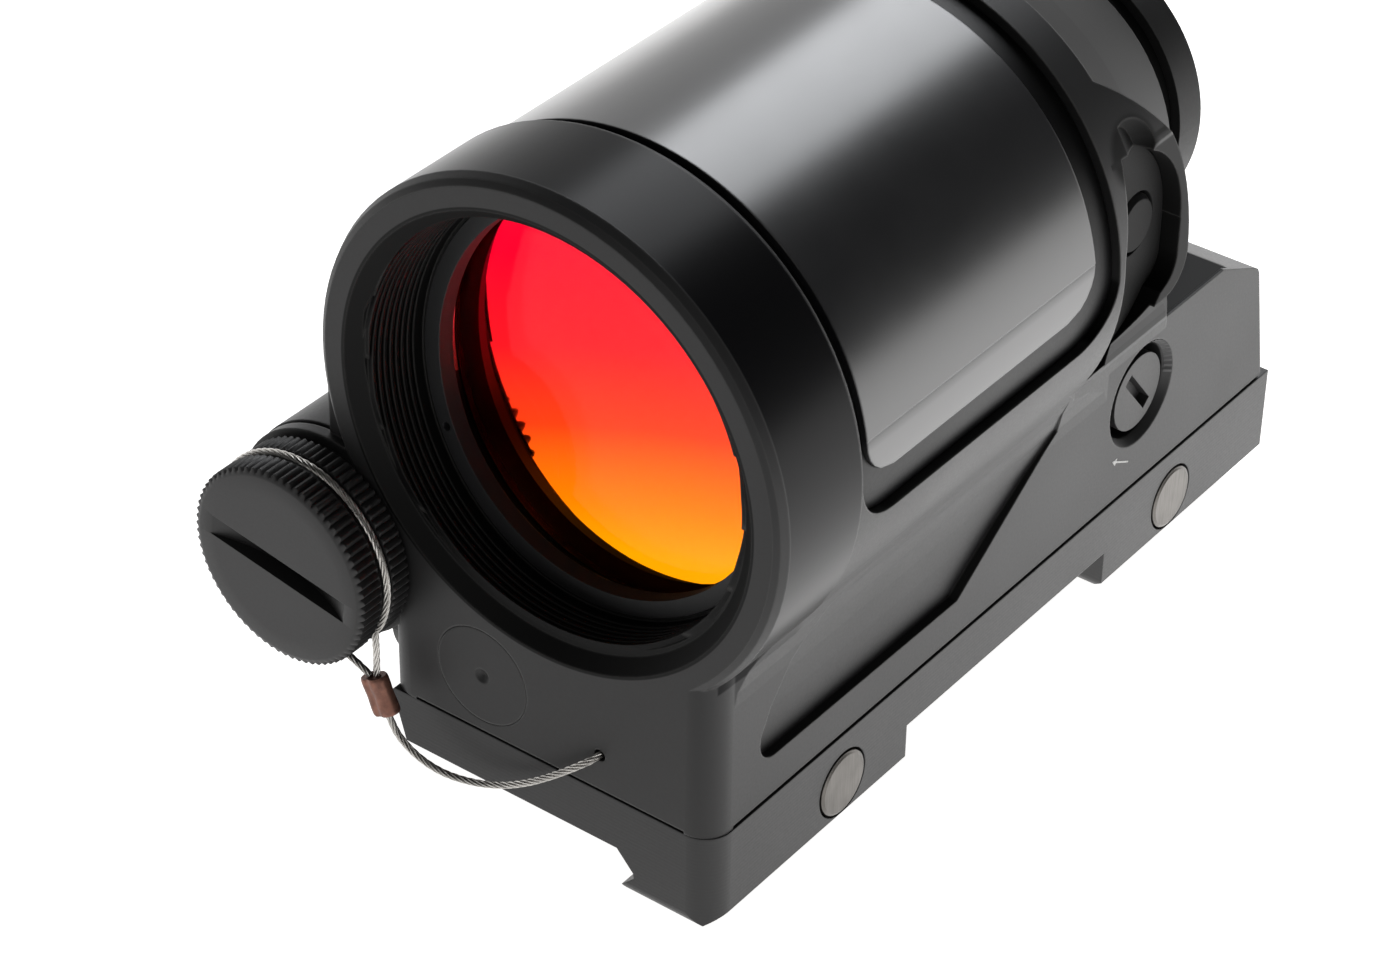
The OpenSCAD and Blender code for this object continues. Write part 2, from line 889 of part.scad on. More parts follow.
module base_plate() {
    color(matte)
        place()
            difference() {
                union() {
                    difference() {
                        ext_y(0, base_l)
                            polygon([[-19.1, base_t - 0.3], [-18.8, base_t], [base_x, base_t], [base_x, 0], [-17.5, 0]]);
                        box([-25, 11, -1], [-10.9, base_l - 11, base_t + 1]);
                    }
                    jaw(0, jaw_len);
                    jaw(rear_jaw_y, base_l);
                }
                // rounded front corner
                difference() {
                    box([base_x - 3, -1, -6], [base_x + 1, 3, base_t + 1]);
                    translate([base_x - 3, 3, -7])
                        cylinder(h = 15, r = 3);
                }
                bolt_holes(bolt_r + 0.02);
                for (y = bolt_y)
                    cyl_x(base_x - 2.6, base_x + 1, head_r + 0.3, y, bolt_z);
                for (x = [-5.5, 5.5], y = [8, 52])
                    translate([x, y, -1]) {
                        cylinder(h = 10, r = 2.2);
                        cylinder(h = 4.2, r = 3.6);
                    }
                // spring pockets facing the clamp bar
                for (y = [35, 66])
                    cyl_x(-13, -8, 1.9, y, 3);
                // groove of the base gasket
                translate([0, 0, base_t - 0.6])
                    linear_extrude(2)
                        gasket_plan(0.02);
            }
}

// flat track of the gasket that closes the electronics bay
module gasket_plan(g) {
    difference() {
        round_rect([-10.6 - g, 57 - g], [16.6 + g, 97.8 + g], 2);
        round_rect([-9 + g, 58.6 + g], [15 - g, 96.2 - g], 1);
    }
}

module base_gasket() {
    color(rubber)
        place()
            translate([0, 0, base_t - 0.58])
                linear_extrude(0.57)
                    gasket_plan(-0.03);
}

module base_screws() {
    color(steel)
        place()
            for (x = [-5.5, 5.5], y = [8, 52])
                translate([x, y, 0.1])
                    difference() {
                        union() {
                            cylinder(h = 3, r = 3.4);
                            cylinder(h = 10.4, r = 2);
                        }
                        translate([0, 0, -1])
                            cylinder(h = 2.6, r = 1.6, $fn = 6);
                    }
}

module cross_bolts() {
    color(steel)
        place()
            for (y = bolt_y)
                union() {
                    cyl_x(base_x - 2.5, base_x + 0.05, head_r, y, bolt_z);
                    cyl_x(base_x, base_x + 0.2, head_r, y, bolt_z, head_r - 0.3);
                    cyl_x(-33.4, base_x - 2.4, bolt_r, y, bolt_z);
                }
}

module clamp_bar() {
    color(matte)
        place()
            difference() {
                ext_y(12, base_l - 12)
                    mirror([1, 0])
                        polygon([[21.4, 5.2], [20.9, 5.7], [12, 5.7], [12, -1.1], [flank_out - 0.24, -2.4],
                            [flank_out - 0.24, -2.77], [flank_in, -4.31], [flank_in + 0.9, hook_z],
                            [19.6, hook_z], [21.4, hook_z + 1.8]]);
                bolt_holes(bolt_r + 0.32);
                for (y = [35, 66])
                    cyl_x(-16.5, -11, 1.9, y, 3);
            }
}

module clamp_springs() {
    color(steel)
        place()
            for (y = [35, 66])
                wire(coil_x(-16.2, -8.5, 1.3, 5, 50, y, 3), 0.25, 6, [1, 0, 0.01]);
}

module clamp_nut(y) {
    difference() {
        union() {
            cyl_x(-31.2, -23, nut_r, y, bolt_z);
            cyl_x(-23, -21.6, 4.6, y, bolt_z);
        }
        cyl_x(-40, -20, bolt_r + 0.32, y, bolt_z);
        // coin slot
        box([-32, y - 9, bolt_z - 1], [-29.4, y + 9, bolt_z + 1]);
    }
}

module nut_front() {
    color(matte)
        place()
            clamp_nut(bolt_y[0]);
}

module nut_rear() {
    color(matte)
        place()
            clamp_nut(bolt_y[1]);
}

housing();
front_plug();
lens_ring();
lens_front();
lens_mirror();
lens_seal();
solar_cell();
solar_gasket();
solar_window();
eyepiece_ring();
eyepiece_glass();
eyepiece_seal();
keypad();
button();
dome_switch();
windage_screw();
windage_seal();
elevation_screw();
elevation_seal();
cross_slide();
led_carriage();
led();
carriage_spring();
circuit_board();
battery_tube();
battery();
battery_contact();
battery_cap();
cap_seal();
cap_spring();
wire_loop();
ferrule();
lanyard();
base_plate();
base_gasket();
base_screws();
cross_bolts();
clamp_bar();
clamp_springs();
nut_front();
nut_rear();
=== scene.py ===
import math

import bmesh
import bpy
from mathutils import Matrix, Vector


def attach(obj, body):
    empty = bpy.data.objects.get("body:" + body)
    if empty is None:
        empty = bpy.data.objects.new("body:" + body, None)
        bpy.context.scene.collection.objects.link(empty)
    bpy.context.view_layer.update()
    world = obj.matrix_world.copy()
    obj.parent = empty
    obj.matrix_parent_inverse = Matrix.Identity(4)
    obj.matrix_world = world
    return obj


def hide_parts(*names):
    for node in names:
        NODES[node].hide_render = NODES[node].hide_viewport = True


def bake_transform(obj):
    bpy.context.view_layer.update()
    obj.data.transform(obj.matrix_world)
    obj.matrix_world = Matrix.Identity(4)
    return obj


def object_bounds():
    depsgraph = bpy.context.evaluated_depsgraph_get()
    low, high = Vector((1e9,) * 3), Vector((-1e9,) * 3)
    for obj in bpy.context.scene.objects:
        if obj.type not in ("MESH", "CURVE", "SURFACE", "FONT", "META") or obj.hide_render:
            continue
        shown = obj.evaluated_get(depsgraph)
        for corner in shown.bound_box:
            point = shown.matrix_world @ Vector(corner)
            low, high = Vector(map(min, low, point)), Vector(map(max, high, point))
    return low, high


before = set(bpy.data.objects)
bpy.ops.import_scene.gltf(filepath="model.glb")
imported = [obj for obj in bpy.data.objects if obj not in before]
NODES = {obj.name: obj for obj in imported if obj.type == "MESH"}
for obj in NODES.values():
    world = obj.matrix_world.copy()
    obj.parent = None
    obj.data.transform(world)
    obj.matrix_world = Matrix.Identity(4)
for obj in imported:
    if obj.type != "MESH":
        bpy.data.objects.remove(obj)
cad_box = [list(corner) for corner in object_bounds()]

# the sight, in mm; places along it are counted from its front face
MM = 0.001
FRONT_Y = -50.2          # the front face, from the middle of the rail seat
AXIS_Z = 42.4            # height of the optical axis
TUBE = (-26.6, 21.0)     # centre line of the battery tube, across and up
CAP_L = 7.2              # how far the battery cap stands in front of the front face
CAP_R = 10.7             # battery cap over its knurl
GROOVE_R = 9.7           # bottom of the cap's wire groove
LOOP_Y, LOOP_R = -3.45, 10.5     # the wire loop in that groove, along and its radius
WIRE_R = 0.38            # outside radius of both wires
STRANDS, LAY = 6, 5.6    # strands round the core, and the length of one turn of them
SIDE_X = 19.7            # side plane of the block
WIND = (73.0, 17.5)      # sideways adjuster, along and up
HOLLOW = (26.1, 60.2, 54.9)      # middle of the round hollow above the control recess
CONE_Y = 59.0            # front of the rear cone
WINDOW_R = 26.0          # arch of the solar window
WINDOW_Y = (14.0, 51.2)  # its front and rear edge
WINDOW_LOW = AXIS_Z - 0.5        # its lower edge on both sides
LENS_TILT = math.radians(6.4)
LENS_Y = 8.8             # where the tilted lens seat starts, on the optical axis
LENS_R = 20.85           # both lenses, to their rim

# camera: where it stands (metres), where it looks from, and its lens
CAMERA_AT = (0.18492, -0.27482, 0.24740)
CAMERA_AZIMUTH, CAMERA_ELEVATION, CAMERA_ROLL = 37.05, 35.94, 0.63
CAMERA_LENS, CAMERA_SHIFT = 102.3, (0.0162, 0.0090)
FLOOR_HALF = 3           # metres


def at(x, y, z):
    """A point given in mm from the front face, in the frame, in metres."""
    return Vector((x, y + FRONT_Y, z)) * MM


def behind_front(y):
    """The frame's own y, in metres, of a place y mm behind the front face."""
    return at(0, y, 0).y


# ---------------------------------------------------------------- camera, light, floor

def make_camera():
    """Camera at the photograph's viewing angle."""
    azimuth, elevation = math.radians(CAMERA_AZIMUTH), math.radians(CAMERA_ELEVATION)
    roll = math.radians(CAMERA_ROLL)
    back = Vector((math.sin(azimuth) * math.cos(elevation),
                   -math.cos(azimuth) * math.cos(elevation), math.sin(elevation)))
    level = Vector((math.cos(azimuth), math.sin(azimuth), 0))
    raised = back.cross(level)
    right = level * math.cos(roll) + raised * math.sin(roll)
    up = raised * math.cos(roll) - level * math.sin(roll)
    data = bpy.data.cameras.new("camera")
    data.lens, data.sensor_width = CAMERA_LENS, 36
    data.shift_x, data.shift_y = CAMERA_SHIFT
    data.clip_start, data.clip_end = 0.01, 20
    camera = bpy.data.objects.new("camera", data)
    turn = Matrix((right, up, back)).transposed()
    camera.matrix_world = Matrix.Translation(CAMERA_AT) @ turn.to_4x4()
    bpy.context.scene.collection.objects.link(camera)
    bpy.context.scene.camera = camera


def softbox(name, toward, distance, width, height, radiance, tint):
    """A rectangular lamp that shines at the middle of the sight."""
    aim = Vector((0, 0, 0.035))
    data = bpy.data.lights.new(name, "AREA")
    data.shape, data.size, data.size_y = "RECTANGLE", width, height
    data.energy = radiance * math.pi * width * height
    data.color = tint
    lamp = bpy.data.objects.new(name, data)
    direction = Vector(toward).normalized()
    lamp.location = aim + direction * distance
    lamp.rotation_mode = "QUATERNION"
    lamp.rotation_quaternion = direction.to_track_quat("Z", "Y")
    lamp.visible_camera = False
    bpy.context.scene.collection.objects.link(lamp)


class Tree:
    """Nodes of one material."""

    def __init__(self, name):
        self.mat = bpy.data.materials.new(name)
        self.mat.use_nodes = True
        self.tree = self.mat.node_tree
        self.shader = self.tree.nodes["Principled BSDF"]
        self.coords = self.add("ShaderNodeTexCoord").outputs["Object"]

    def add(self, kind, inputs=None, **settings):
        """A new node with its settings and inputs."""
        node = self.tree.nodes.new(kind)
        for key, value in settings.items():
            setattr(node, key, value)
        for key, value in (inputs or {}).items():
            self.put(node, key, value)
        return node

    def put(self, node, key, value):
        """Links a socket to an input, or sets the input's value."""
        if isinstance(value, bpy.types.NodeSocket):
            self.tree.links.new(value, node.inputs[key])
        else:
            node.inputs[key].default_value = value

    def math(self, operation, a, b=0.0, clamp=False):
        return self.add("ShaderNodeMath", {0: a, 1: b}, operation=operation, use_clamp=clamp).outputs[0]

    def vector(self, operation, a, b=(0, 0, 0)):
        node = self.add("ShaderNodeVectorMath", {0: a, 1: b}, operation=operation)
        return node.outputs["Value" if operation in ("DOT_PRODUCT", "LENGTH") else "Vector"]

    def stretched(self, factors):
        """The object coordinates scaled along each axis, for grain with a direction."""
        return self.vector("MULTIPLY", self.coords, factors)

    def noise(self, scale, detail=2.0, rough=0.5, coords=None):
        return self.add("ShaderNodeTexNoise", {"Vector": coords or self.coords, "Scale": scale,
                                               "Detail": detail, "Roughness": rough}).outputs["Fac"]

    def ramp(self, value, low, high, out_low=0.0, out_high=1.0, smooth=False):
        return self.add("ShaderNodeMapRange",
                        {"Value": value, "From Min": low, "From Max": high,
                         "To Min": out_low, "To Max": out_high},
                        interpolation_type="SMOOTHSTEP" if smooth else "LINEAR").outputs[0]

    def mix(self, share, a, b):
        """Colour a where share is 0 and colour b where it is 1."""
        node = self.add("ShaderNodeMix", data_type="RGBA")
        for key, value in ((0, share), (6, a), (7, b)):
            self.put(node, key, value if isinstance(value, bpy.types.NodeSocket) or key == 0
                     else (*value, 1.0))
        return node.outputs[2]

    def both(self, a, b):
        """1 where two masks are both 1."""
        return self.math("MULTIPLY", a, b)

    def either(self, *masks):
        """1 where any of the masks is 1."""
        joined = masks[0]
        for mask in masks[1:]:
            joined = self.math("MAXIMUM", joined, mask, clamp=True)
        return joined

    def blend(self, share, a, b):
        """Number a where share is 0 and number b where it is 1."""
        node = self.add("ShaderNodeMix", data_type="FLOAT")
        for key, value in ((0, share), (2, a), (3, b)):
            self.put(node, key, value)
        return node.outputs[0]

    def axis_parts(self):
        """x, y, z in metres and the distance from the optical axis."""
        split = self.add("ShaderNodeSeparateXYZ", {0: self.coords})
        x, y, z = split.outputs
        up = self.math("SUBTRACT", z, AXIS_Z * MM)
        squares = self.math("ADD", self.math("MULTIPLY", x, x), self.math("MULTIPLY", up, up))
        far = self.math("SQRT", squares)
        return x, y, z, far

    def between(self, value, low, high, soft):
        """1 between low and high, fading over soft."""
        rise = self.ramp(value, low - soft, low + soft)
        fall = self.ramp(value, high - soft, high + soft, 1.0, 0.0)
        return self.math("MULTIPLY", rise, fall)

    def edges(self, radius, samples=4):
        """A normal rounded over the edges, and a mask that is 1 on them."""
        rounded = self.add("ShaderNodeBevel", {"Radius": radius}, samples=samples).outputs[0]
        plain = self.add("ShaderNodeNewGeometry").outputs["Normal"]
        share = self.ramp(self.vector("DOT_PRODUCT", rounded, plain), 0.995, 0.86)
        return rounded, share

    def bump(self, height, distance, strength=1.0, normal=None):
        inputs = {"Height": height, "Distance": distance, "Strength": strength}
        if normal is not None:
            inputs["Normal"] = normal
        return self.add("ShaderNodeBump", inputs).outputs[0]

    def set(self, **values):
        """Values and links of the shader's own sockets, by name with _ for a space."""
        for key, value in values.items():
            self.put(self.shader, key.replace("_", " "), value)


def make_floor():
    """Pale floor under the lowest point of the sight; it glows as a lit table does."""
    low, half = cad_box[0][2], FLOOR_HALF
    corners = [(-half, -half, low), (half, -half, low), (half, half, low), (-half, half, low)]
    mesh = bpy.data.meshes.new("floor")
    mesh.from_pydata(corners, [], [(0, 1, 2, 3)])
    floor = bpy.data.objects.new("floor", mesh)
    bpy.context.scene.collection.objects.link(floor)
    t = Tree("floor_white")
    # brighter towards the back and the right, but evenly white for the camera
    along = t.vector("DOT_PRODUCT", t.coords, (0.66, 0.75, 0))
    glow = t.ramp(along, -0.07, 0.05, 1.05, 2.25, smooth=True)
    seen = t.add("ShaderNodeLightPath").outputs["Is Camera Ray"]
    t.set(Base_Color=(0.8, 0.8, 0.8, 1), Roughness=0.9, Emission_Color=(1, 0.99, 0.98, 1))
    t.put(t.shader, "Emission Strength", t.blend(seen, glow, 1.0))
    mesh.materials.append(t.mat)


def make_world():
    """Dim surroundings with a soft glow behind the left side, evenly white for the camera."""
    world = bpy.data.worlds.new("studio")
    bpy.context.scene.world = world
    world.use_nodes = True
    nodes, links = world.node_tree.nodes, world.node_tree.links
    coords = nodes.new("ShaderNodeTexCoord")
    toward = nodes.new("ShaderNodeVectorMath")
    toward.operation = "DOT_PRODUCT"
    toward.inputs[1].default_value = (-0.80, 0.60, 0.0)
    links.new(coords.outputs["Generated"], toward.inputs[0])
    glow = nodes.new("ShaderNodeMapRange")
    glow.interpolation_type = "SMOOTHSTEP"
    for key, value in (("From Min", 0.45), ("From Max", 0.95), ("To Min", 0.07), ("To Max", 1.1)):
        glow.inputs[key].default_value = value
    links.new(toward.outputs["Value"], glow.inputs["Value"])
    path = nodes.new("ShaderNodeLightPath")
    pick = nodes.new("ShaderNodeMix")
    links.new(path.outputs["Is Camera Ray"], pick.inputs[0])
    links.new(glow.outputs[0], pick.inputs[2])
    pick.inputs[3].default_value = 0.96
    links.new(pick.outputs[0], nodes["Background"].inputs["Strength"])
    nodes["Background"].inputs["Color"].default_value = (1, 1, 1, 1)


def make_studio():
    """Camera, floor, surroundings and lamps."""
    make_camera()
    make_floor()
    make_world()
    softbox("softbox_back", (-0.17, 0.72, 0.67), 0.62, 0.36, 0.34, 6.0, (0.95, 0.97, 1.0))
    softbox("fill_front", (0.28, -0.92, 0.8), 0.9, 0.5, 0.5, 0.82, (1.0, 0.99, 0.97))
    bpy.context.scene.view_settings.view_transform = "Standard"


# ---------------------------------------------------------------- materials

def paint(name, dark, light, rough, grain=3500, depth=0.000004, edge=0.00025, worn=0.35,
          specular=0.5, patch=60):
    """Dark metal or plastic with patchy tone, fine grain, and edges that catch the light."""
    t = Tree(name)
    tone = t.ramp(t.noise(patch, 4), 0.3, 0.7)
    fine = t.noise(grain, 3, 0.6)
    color = t.mix(tone, dark, light)
    normal, edges = t.edges(edge)
    lighter = tuple(min(1.0, c * 2.2 + 0.02) for c in light)
    color = t.mix(t.math("MULTIPLY", edges, worn), color, lighter)
    t.set(Base_Color=color, Specular_IOR_Level=specular)
    t.put(t.shader, "Roughness", t.math("ADD", t.ramp(tone, 0, 1, -0.03, 0.03),
                                        t.ramp(fine, 0.3, 0.7, rough - 0.03, rough + 0.04)))
    t.put(t.shader, "Normal", t.bump(fine, depth, 0.6, normal))
    t.fine, t.round_normal, t.edge_mask, t.color = fine, normal, edges, color
    return t


def housing_masks(t):
    """The areas of the housing that have a finish or a painted shade of their own, all measured in
    metres.
    """
    x, y, z, far = t.axis_parts()
    crisp_edge, tiny_edge = 0.00008, 0.00005
    # outside of the front ring
    band = t.both(t.between(y, behind_front(1.3), behind_front(11.9), crisp_edge),
                  t.between(far, 0.0266, 0.02745, crisp_edge))
    # bore and light trap, painted near black as shade
    inner = t.both(t.ramp(far, 0.02375, 0.02365), t.ramp(y, 0.0345, 0.034))
    # channel round the solar window, painted near black as shade
    channel = t.both(t.between(y, behind_front(12.65), behind_front(55.0), 0.00004),
                     t.both(t.between(far, 0.0232, 0.0262, 0.00003), t.ramp(z, 0.0375, 0.0377)))
    # control recess: below the flat side of its shroud and outside the barrel's frame, painted near
    # black as shade
    pit = t.both(t.between(x, 0.0198, 0.0238, crisp_edge),
                 t.both(t.between(y, behind_front(56.1), behind_front(69.95), tiny_edge),
                        t.between(z, 0.0295, 0.0541, 0.0001)))
    cone = t.both(t.ramp(y, behind_front(CONE_Y - 0.1), behind_front(CONE_Y + 0.1)),
                  t.both(t.ramp(far, 0.0262, 0.0261), t.ramp(z, 0.0240, 0.0242)))
    # top of the strip between the window and the cone, only a little duller
    strip = t.both(t.ramp(y, behind_front(55.1), behind_front(55.3)),
                   t.ramp(z, 0.0528, 0.0545, smooth=True))
    strip = t.both(strip, 0.3)
    # ledge beside the cone, painted darker as the shade that falls between the cone and the lip
    ledge = t.both(t.both(t.between(y, behind_front(77), behind_front(89.6), 0.0001),
                          t.ramp(x, 0.01935, 0.01925)),
                   t.both(t.between(z, 0.0238, 0.0249, tiny_edge), t.ramp(x, 0.0, 0.001)))
    # round hollow above the control recess, painted darker as shade
    hollow_far = t.vector("LENGTH", t.vector("SUBTRACT", t.coords, tuple(at(*HOLLOW))))
    hollow = t.ramp(hollow_far, 0.0052, 0.0040, smooth=True)
    return {"band": band, "inner": inner, "channel": channel, "hollow": hollow,
            "black": t.either(inner, channel, pit), "duller_and_shaded": t.either(cone, strip, ledge, hollow)}


def housing_finish():
    """Matte housing: glossy front ring band, bore and recesses painted near black as shade, darker and
    duller cone, ledge and hollow painted darker as shade.
    """
    t = paint("anodised_black", (0.013, 0.013, 0.0135), (0.018, 0.0178, 0.018), 0.46, worn=0.55,
              edge=0.0003)
    areas = housing_masks(t)
    band, duller_and_shaded, black = areas["band"], areas["duller_and_shaded"], areas["black"]
    # darker on the duller cone and strip, and painted shade on the ledge and in the hollow
    color = t.mix(t.both(duller_and_shaded, 0.85), t.color, (0.003, 0.003, 0.003))
    # painted shade: darker again in the hollow
    color = t.mix(t.both(areas["hollow"], 0.6), color, (0.002, 0.002, 0.002))
    # painted shade: the bore, the window's channel and the control recess go near black
    color = t.mix(black, color, (0.002, 0.002, 0.002))
    color = t.mix(band, color, (0.003, 0.003, 0.0035))
    color = t.mix(t.both(t.edge_mask, 0.35), color, (0.085, 0.083, 0.08))
    rough = t.blend(band, t.shader.inputs["Roughness"].links[0].from_socket, 0.3)
    rough = t.blend(areas["inner"], rough, 0.55)
    rough = t.blend(areas["channel"], rough, 0.4)
    rough = t.blend(duller_and_shaded, rough, 0.56)
    shine = t.blend(duller_and_shaded, 0.25, 0.09)
    shine = t.blend(black, shine, 0.12)
    t.put(t.shader, "Specular IOR Level", t.blend(band, shine, 0.09))
    t.put(t.shader, "Base Color", color)
    t.put(t.shader, "Roughness", rough)
    # turning marks on the ring and fine level tooling elsewhere
    rings = t.noise(1500, 2, 0.5, t.stretched((0.06, 1.4, 0.06)))
    lines = t.noise(1800, 2, 0.5, t.stretched((0.05, 0.05, 1.3)))
    height = t.blend(band, lines, rings)
    grain = t.bump(t.fine, 0.000004, 0.5, t.round_normal)
    t.put(t.shader, "Normal", t.bump(height, 0.000004, 0.35, grain))
    return t.mat


def base_finish():
    """Milled base: cutter lines run level along every side."""
    t = paint("milled_black", (0.014, 0.014, 0.0145), (0.019, 0.019, 0.0195), 0.44, worn=0.3,
              specular=0.3)
    split = t.add("ShaderNodeSeparateXYZ", {0: t.coords})
    wobble = t.ramp(t.noise(120, 2), 0, 1, -0.00008, 0.00008)
    level = t.math("ADD", split.outputs[2], wobble)
    spacing = 0.00042
    stripes = t.math("SINE", t.math("MULTIPLY", level, 2 * math.pi / spacing))
    drag = t.noise(2500, 2, 0.5, t.stretched((0.03, 0.03, 1.0)))
    height = t.math("ADD", t.math("MULTIPLY", stripes, 0.25), drag)
    t.put(t.shader, "Normal", t.bump(height, 0.000012, 0.55, t.round_normal))
    return t.mat


def cap_finish():
    """Battery cap, adjusters and clamp nuts: matte black with slightly bare edges."""
    t = paint("cap_black", (0.0155, 0.0152, 0.0153), (0.0215, 0.021, 0.0213), 0.5, depth=0.000003,
              edge=0.00012, worn=0.25, specular=0.36)
    return t.mat


def eyepiece_finish():
    """Eyepiece ring: the deepest matte black outside."""
    t = paint("eyepiece_black", (0.008, 0.008, 0.0082), (0.011, 0.011, 0.0112), 0.5, depth=0.000003,
              edge=0.00015, worn=0.35, specular=0.16)
    return t.mat


def gloss_finish():
    """Solar window: black glass over the cells, with faint handling marks."""
    t = Tree("gloss_black")
    haze = t.noise(90, 5, 0.6)
    marks = t.noise(700, 3, 0.6, t.stretched((1.0, 0.35, 1.0)))
    t.set(Base_Color=t.mix(t.ramp(haze, 0.35, 0.75), (0.004, 0.004, 0.005), (0.009, 0.009, 0.010)),
          IOR=1.72, Coat_Weight=0.0)
    t.put(t.shader, "Roughness", t.math("ADD", t.ramp(haze, 0.3, 0.8, 0.28, 0.31),
                                        t.ramp(marks, 0.5, 0.9, 0.0, 0.02)))
    normal = t.edges(0.0003)[0]
    t.put(t.shader, "Normal", t.bump(marks, 0.000002, 0.3, normal))
    return t.mat


def gasket_finish():
    """Smooth black gasket round the solar window."""
    t = paint("gasket_black", (0.0015, 0.0015, 0.0015), (0.0025, 0.0025, 0.0028), 0.4, depth=0.000003,
              worn=0.0, edge=0.0003, specular=0.14)
    return t.mat


def rubber_finish():
    """Grained rubber of the keypad, the button and the seals."""
    t = paint("black_rubber", (0.009,) * 3, (0.013,) * 3, 0.66, grain=5200, depth=0.000012,
              worn=0.12, edge=0.0002, specular=0.12)
    return t.mat


def trap_finish():
    """Retaining ring of the lens and the teeth of the adjuster scale."""
    t = paint("trap_black", (0.012, 0.012, 0.013), (0.017, 0.017, 0.018), 0.5, worn=0.25, edge=0.00012)
    return t.mat


def coating_finish():
    """Mirror coat of the rear lens: crimson at the top to orange at the bottom, dark teal behind."""
    t = Tree("red_coating")
    slope = t.vector("DOT_PRODUCT", t.coords, (-0.3, 0, 1))
    height = t.ramp(slope, (AXIS_Z - 18.5) * MM, (AXIS_Z + 18.0) * MM)
    ramp = t.add("ShaderNodeValToRGB", {0: height})
    stops = ramp.color_ramp.elements
    stops[0].position, stops[0].color = 0.0, (1.0, 0.33, 0.0, 1)
    stops[1].position, stops[1].color = 1.0, (0.74, 0.0, 0.024, 1)
    for place, tint in ((0.14, (1.0, 0.19, 0.0, 1)), (0.34, (1.0, 0.045, 0.006, 1)),
                        (0.56, (0.95, 0.008, 0.014, 1)), (0.84, (0.80, 0.0, 0.020, 1))):
        stops.new(place).color = tint
    facing = t.vector("DOT_PRODUCT", t.add("ShaderNodeNewGeometry").outputs["True Normal"],
                      (0, math.cos(LENS_TILT), -math.sin(LENS_TILT)))
    behind = t.ramp(facing, -0.5, -0.3)
    haze = t.noise(140, 3)
    t.set(Base_Color=t.mix(behind, ramp.outputs[0], (0.01, 0.035, 0.04)))
    t.put(t.shader, "Metallic", t.ramp(behind, 0, 1, 1.0, 0.0))
    t.put(t.shader, "Roughness", t.ramp(haze, 0.3, 0.7, 0.02, 0.035))
    return t.mat


def glass_finish():
    """Coated clear glass, which reflects little, with faint smears."""
    t = Tree("clear_glass")
    smear = t.noise(60, 4)
    t.set(Base_Color=(0.98, 0.985, 0.98, 1), IOR=1.14, Transmission_Weight=1.0)
    t.put(t.shader, "Roughness", t.ramp(smear, 0.45, 0.8, 0.0, 0.012))
    return t.mat


def steel_finish(name, base, rough, along=(1, 1, 1), depth=0.000003):
    """Bare or blackened steel with a drawn or turned grain."""
    t = Tree(name)
    drawn = t.noise(2600, 3, 0.6, t.stretched(along))
    blotch = t.noise(220, 3)
    darker = tuple(c * 0.6 for c in base)
    t.set(Base_Color=t.mix(t.ramp(blotch, 0.3, 0.75), base, darker), Metallic=1.0)
    t.put(t.shader, "Roughness", t.ramp(drawn, 0.3, 0.7, rough - 0.06, rough + 0.08))
    normal = t.edges(0.00015)[0]
    t.put(t.shader, "Normal", t.bump(drawn, depth, 0.5, normal))
    return t.mat


def copper_finish():
    """Stained copper of the crimped sleeve."""
    t = Tree("copper_sleeve")
    stain = t.noise(900, 4, 0.6)
    drawn = t.noise(2500, 2, 0.5, t.stretched((1, 1, 0.15)))
    t.set(Base_Color=t.mix(t.ramp(stain, 0.3, 0.7), (0.26, 0.12, 0.085), (0.13, 0.065, 0.05)),
          Metallic=0.75)
    t.put(t.shader, "Roughness", t.ramp(drawn, 0.3, 0.7, 0.38, 0.52))
    t.put(t.shader, "Normal", t.bump(drawn, 0.00001, 0.5))
    return t.mat


def board_finish():
    """Green circuit board with a pattern of tracks."""
    t = Tree("board_green")
    greens = {"Color1": (0.01, 0.07, 0.03, 1), "Color2": (0.012, 0.09, 0.035, 1),
              "Mortar": (0.03, 0.16, 0.06, 1)}
    tracks = t.add("ShaderNodeTexBrick", {"Vector": t.coords, "Scale": 900, **greens})
    t.set(Base_Color=tracks.outputs["Color"], Roughness=0.35)
    return t.mat


def cell_finish():
    """Solar cells: dark blue with fine contact lines."""
    t = Tree("cell_blue")
    split = t.add("ShaderNodeSeparateXYZ", {0: t.coords})
    spacing = 0.0022
    lines = t.math("SINE", t.math("MULTIPLY", split.outputs[1], 2 * math.pi / spacing))
    t.set(Base_Color=t.mix(t.ramp(lines, 0.93, 0.97), (0.003, 0.004, 0.02), (0.12, 0.12, 0.13)),
          Roughness=0.3)
    return t.mat


def emitter_finish():
    """Clouded red resin of the emitter."""
    t = Tree("emitter_red")
    cloud = t.noise(1500, 2)
    t.set(Base_Color=t.mix(cloud, (0.55, 0.02, 0.015), (0.8, 0.06, 0.04)), Roughness=0.15,
          Coat_Weight=0.5)
    return t.mat


def mark_finish():
    """Worn white paint of the arrow."""
    t = Tree("mark_white")
    worn = t.noise(2500, 3, 0.6)
    t.set(Base_Color=t.mix(t.ramp(worn, 0.45, 0.7), (0.42, 0.42, 0.41), (0.14, 0.14, 0.14)),
          Roughness=0.6)
    return t.mat


